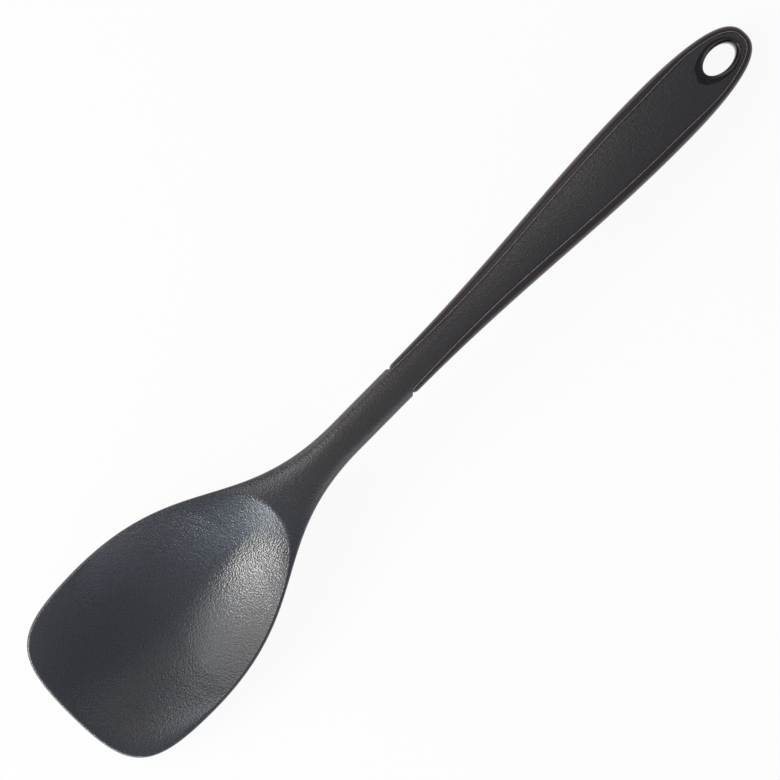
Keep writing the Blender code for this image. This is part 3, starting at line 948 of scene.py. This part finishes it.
@dataclass(frozen=True)
class MattNylon:
    """Nylon moulded in a spark-eroded tool: an even fine grain that breaks a highlight into sparkles."""

    # colour and shade are the bowl's, cooled by a painted tint of bluish light; the handle's pair is warmer
    colour: str = "#37373a"
    shade: str = "#343437"
    handle_colour: str = "#3d3937"
    handle_shade: str = "#383534"
    grain: float = 0.62 * MM
    grain_depth: float = 0.06 * MM
    grain_strength: float = 1.0
    grain_detail: float = 0.0
    grain_low: float = 0.3
    grain_high: float = 0.7
    cloud: float = 22 * MM
    cloud_detail: float = 3.0
    # Brings the textures' origin into the bowl
    to_bowl: Point = (0.1, 0.0, -0.01)
    bowl_end: float = -0.075
    handle_start: float = -0.035
    rough_low: float = 0.11
    rough_high: float = 0.31
    ior: float = 1.53

    def material(self) -> Material:
        """Makes the material, with its grain a little coarser than the real 0.2 mm, which wouldn't show."""
        material, tree, shader = new_material("spark_eroded_nylon")
        place = add_node(tree, "TexCoord").outputs["Object"]
        centred = add_node(tree, "Mapping", {"Vector": place, "Location": self.to_bowl}).outputs[0]
        coarse = {"Vector": centred, "Scale": 1 / self.cloud, "Detail": self.cloud_detail}
        cloud = add_node(tree, "TexNoise", coarse).outputs["Fac"]
        fine = {"Vector": centred, "Scale": 1 / self.grain}
        grain = add_node(tree, "TexNoise", fine | {"Detail": self.grain_detail}).outputs["Fac"]
        pits = add_node(tree, "TexVoronoi", fine).outputs["Distance"]
        tones = []
        for dark, light in ((self.shade, self.colour), (self.handle_shade, self.handle_colour)):
            pair = {"Factor": cloud, COLOUR_A: linear(dark), COLOUR_B: linear(light)}
            tones.append(add_node(tree, "Mix", pair, data_type="RGBA").outputs[COLOUR_OUT])
        # Painted light: the bowl's tone is cooler than the neck's and the handle's, a painted tint of the
        # bluish light that falls on the bowl.
        along = add_node(tree, "SeparateXYZ", {0: place}).outputs[0]
        limits = {"Value": along, "From Min": self.bowl_end, "From Max": self.handle_start}
        share = add_node(tree, "MapRange", limits).outputs[0]
        both = {"Factor": share, COLOUR_A: tones[0], COLOUR_B: tones[1]}
        mixed = add_node(tree, "Mix", both, data_type="RGBA").outputs[COLOUR_OUT]
        limits = {"Value": grain, "From Min": self.grain_low, "From Max": self.grain_high}
        limits |= {"To Min": self.rough_low, "To Max": self.rough_high}
        rough = add_node(tree, "MapRange", limits).outputs[0]
        height = add_node(tree, "Math", {0: grain, 1: pits}, operation="ADD").outputs[0]
        relief = {"Height": height, "Strength": self.grain_strength, "Distance": self.grain_depth}
        bump = add_node(tree, "Bump", relief).outputs[0]
        plug_in(shader, {"Base Color": mixed, "Roughness": rough, "Normal": bump, "IOR": self.ior})
        return material


@dataclass(frozen=True)
class GlossOvermould:
    """Polished overmoulding: dark brown, with a soft deep gloss and the slight waviness of a moulded skin."""

    name: str = "polished_overmould"
    colour: str = "#3b3231"
    shade: str = "#342c2b"
    wave: float = 6 * MM
    wave_depth: float = 0.02 * MM
    wave_strength: float = 0.3
    wave_detail: float = 1.0
    haze: float = 3 * MM
    haze_detail: float = 4.0
    # Brings the textures' origin into the handle
    to_handle: Point = (-0.08, 0.0, -0.015)
    rough_low: float = 0.20
    rough_high: float = 0.30
    ior: float = 1.45

    def material(self) -> Material:
        """Makes the material."""
        material, tree, shader = new_material(self.name)
        place = add_node(tree, "TexCoord").outputs["Object"]
        centred = add_node(tree, "Mapping", {"Vector": place, "Location": self.to_handle}).outputs[0]
        cloudy = {"Vector": centred, "Scale": 1 / self.haze, "Detail": self.haze_detail}
        haze = add_node(tree, "TexNoise", cloudy).outputs["Fac"]
        wavy = {"Vector": centred, "Scale": 1 / self.wave, "Detail": self.wave_detail}
        wave = add_node(tree, "TexNoise", wavy).outputs["Fac"]
        colours = {"Factor": haze, COLOUR_A: linear(self.shade), COLOUR_B: linear(self.colour)}
        mixed = add_node(tree, "Mix", colours, data_type="RGBA").outputs[COLOUR_OUT]
        limits = {"Value": haze, "To Min": self.rough_low, "To Max": self.rough_high}
        rough = add_node(tree, "MapRange", limits).outputs[0]
        relief = {"Height": wave, "Strength": self.wave_strength, "Distance": self.wave_depth}
        bump = add_node(tree, "Bump", relief).outputs[0]
        plug_in(shader, {"Base Color": mixed, "Roughness": rough, "Normal": bump, "IOR": self.ior})
        return material


@dataclass(frozen=True)
class PaintedHighlightLine(GlossOvermould):
    """The bead's overmoulding, painted pale: a painted highlight line beside the matt panel."""

    name: str = "painted_highlight_line"
    # Painted highlight: these pale colours stand in for the light that the bead's edge catches, broken into
    # dots by the haze.
    colour: str = "#a09797"
    shade: str = "#453e3f"
    haze: float = 1.5 * MM


@dataclass(frozen=True)
class LinerGloss(GlossOvermould):
    """The overmoulding inside the hanging hole, painted nearly black: painted shade on its walls and dish."""

    name: str = "polished_liner"
    # Painted shade: darker than the band's own colour, for the shade inside the hole.
    colour: str = "#201c1c"
    shade: str = "#191616"


@dataclass(frozen=True)
class SoftBox:
    """A rectangular soft light that faces the spoon, its width level."""

    name: str
    bearing: float
    elevation: float
    width: float
    height: float
    watts: float
    colour: str
    distance: float = 1.20

    def hang(self, target: Vector) -> None:
        """Hangs the light at its distance from the target, turned to face it.

        Args:
            target: the point that it faces. The bearing is counted round it from +X towards +Y.
        """
        turn, lift = math.radians(self.bearing), math.radians(self.elevation)
        away = Vector((math.cos(lift) * math.cos(turn), math.cos(lift) * math.sin(turn), math.sin(lift)))
        bpy.ops.object.light_add(type="AREA", location=target + away * self.distance)
        box = bpy.context.object
        box.name = self.name
        box.rotation_euler = away.to_track_quat("Z", "Y").to_euler()
        box.data.shape, box.data.size, box.data.size_y = "RECTANGLE", self.width, self.height
        box.data.energy = self.watts
        box.data.color = linear(self.colour)[:3]


@dataclass
class Studio:
    """A plain white floor, soft lights and a camera straight above the spoon."""

    boxes: tuple[SoftBox, ...] = (
        SoftBox("key_box", 150.0, 25.0, 0.25, 0.25, 2.2, "#fffefa"),
        SoftBox("second_key_box", 162.0, 24.0, 0.25, 0.25, 3.6, "#fffefa"),
        SoftBox("low_box", 150.0, 19.0, 1.30, 0.40, 4.3, "#fff8ea"),
        SoftBox("side_box", 130.0, 40.0, 0.90, 0.50, 3.5, "#fbfeff"),
        SoftBox("front_box", 195.0, 10.0, 0.90, 0.30, 7.5, "#dcf0ff"),
        SoftBox("front_top_box", 195.0, 24.0, 0.70, 0.40, 1.2, "#dcf0ff"),
        SoftBox("right_box", 260.0, 25.0, 0.70, 0.50, 0.6, "#e6f0ff"),
        SoftBox("handle_box", 110.0, 65.0, 0.40, 0.40, 0.3, "#fff6ea"),
        SoftBox("tip_box", 35.0, 65.0, 0.40, 0.40, 0.5, "#fff6ea"),
    )
    air_top_colour: str = "#dfeaff"
    air_side_colour: str = "#ffeeea"
    air_top: float = 0.315
    air_side: float = 2.55
    air_fade: float = 0.40
    floor_colour: str = "#f4f4f4"
    floor_rough: float = 0.9
    floor_side: float = 6.0
    white_share: float = 0.92
    camera_height: float = 1.095
    view_centre: Pair = (-0.0085, 0.0005)
    view_plane: float = 0.005
    view_width: float = 0.2686
    view_turn: float = 45.3

    def _seen_rays(self, tree: NodeTree) -> NodeSocket:
        """1 for rays from the camera, and for those that gloss or glass sends on."""
        path = add_node(tree, "LightPath").outputs
        seen = path["Is Camera Ray"]
        for kind in ("Is Glossy Ray", "Is Transmission Ray"):
            seen = add_node(tree, "Math", {0: seen, 1: path[kind]}, operation="MAXIMUM").outputs[0]
        return seen

    def lay_floor(self) -> None:
        """Lays the floor. Seen rays find mostly its own white, and for the rest its lit face and shadow."""
        bpy.ops.mesh.primitive_plane_add(size=self.floor_side, location=(0, 0, 0))
        floor = bpy.context.object
        floor.name = "studio_floor"
        material, tree, shader = new_material("white_floor")
        plain = {"Base Color": linear(self.floor_colour), "Roughness": self.floor_rough}
        plug_in(shader, plain | {"Specular IOR Level": 0.0})
        glow = add_node(tree, "Emission", {"Color": WHITE, "Strength": 1.0}).outputs[0]
        share = add_node(tree, "Math", {0: self._seen_rays(tree), 1: self.white_share}, operation="MULTIPLY")
        mixed = add_node(tree, "MixShader", {0: share.outputs[0], 1: shader.outputs[0], 2: glow})
        plug_in(tree.nodes["Material Output"], {"Surface": mixed.outputs[0]})
        floor.data.materials.append(material)

    def fill_air(self) -> None:
        """Sets the even light from all round, strongest near the floor, which the camera sees as white."""
        world = bpy.data.worlds.new("studio_air")
        world.use_nodes = True
        tree = world.node_tree
        light = tree.nodes["Background"]
        around = add_node(tree, "TexCoord").outputs["Generated"]
        rise = {"Value": add_node(tree, "SeparateXYZ", {0: around}).outputs["Z"], "From Max": self.air_fade}
        lift = add_node(tree, "MapRange", rise, interpolation_type="SMOOTHSTEP").outputs[0]
        ends = {"Value": lift, "To Min": self.air_side, "To Max": self.air_top}
        strength = add_node(tree, "MapRange", ends).outputs[0]
        low, high = linear(self.air_side_colour), linear(self.air_top_colour)
        tint = add_node(tree, "Mix", {"Factor": lift, COLOUR_A: low, COLOUR_B: high}, data_type="RGBA")
        plug_in(light, {"Strength": strength, "Color": tint.outputs[COLOUR_OUT]})
        white = add_node(tree, "Background", {"Color": WHITE, "Strength": 1.0}).outputs[0]
        camera_ray = add_node(tree, "LightPath").outputs["Is Camera Ray"]
        mixed = add_node(tree, "MixShader", {0: camera_ray, 1: light.outputs[0], 2: white})
        plug_in(tree.nodes["World Output"], {"Surface": mixed.outputs[0]})
        bpy.context.scene.world = world

    def set_camera(self) -> None:
        """Sets the camera above the picture's middle, turned so that the handle runs to the upper right."""
        bpy.ops.object.camera_add(
            location=(*self.view_centre, self.camera_height), rotation=(0, 0, -math.radians(self.view_turn))
        )
        camera = bpy.context.object
        camera.name = "overhead_camera"
        distance = self.camera_height - self.view_plane
        camera.data.lens = camera.data.sensor_width * distance / self.view_width
        bpy.context.scene.camera = camera

    def set_up(self) -> None:
        """Sets up the whole studio."""
        bpy.context.scene.view_settings.view_transform = "Standard"
        self.lay_floor()
        self.fill_air()
        target = Vector((*self.view_centre, self.view_plane))
        for box in self.boxes:
            box.hang(target)
        self.set_camera()


def finish_piece(piece: Object, material: Material) -> None:
    """Dresses a piece and lets it ride on the spoon.

    Args:
        piece: the piece.
        material: its material.
    """
    piece.data.materials.clear()
    piece.data.materials.append(material)
    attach(piece, BODY)
    LOG.info("%s: %d faces, finish %s", piece.name, len(piece.data.polygons), material.name)


def main() -> None:
    """Builds the spoon's pieces in order, dresses them and sets up the studio."""
    logging.basicConfig(level=logging.INFO, format="%(name)s: %(message)s")
    form = SpoonForm()
    band, liner = GripBand(form), HoleLiner(form)
    nylon, gloss = MattNylon().material(), GlossOvermould().material()
    spaces = [band.shape("band_space", Cut.SPACE), liner.shape("liner_space", Cut.SPACE)]
    finish_piece(SpoonBody(form).build(spaces), nylon)
    finish_piece(band.build(), gloss)
    finish_piece(band.build_bead(), PaintedHighlightLine().material())
    finish_piece(liner.build(), LinerGloss().material())
    Studio().set_up()


if __name__ == "__main__":
    main()
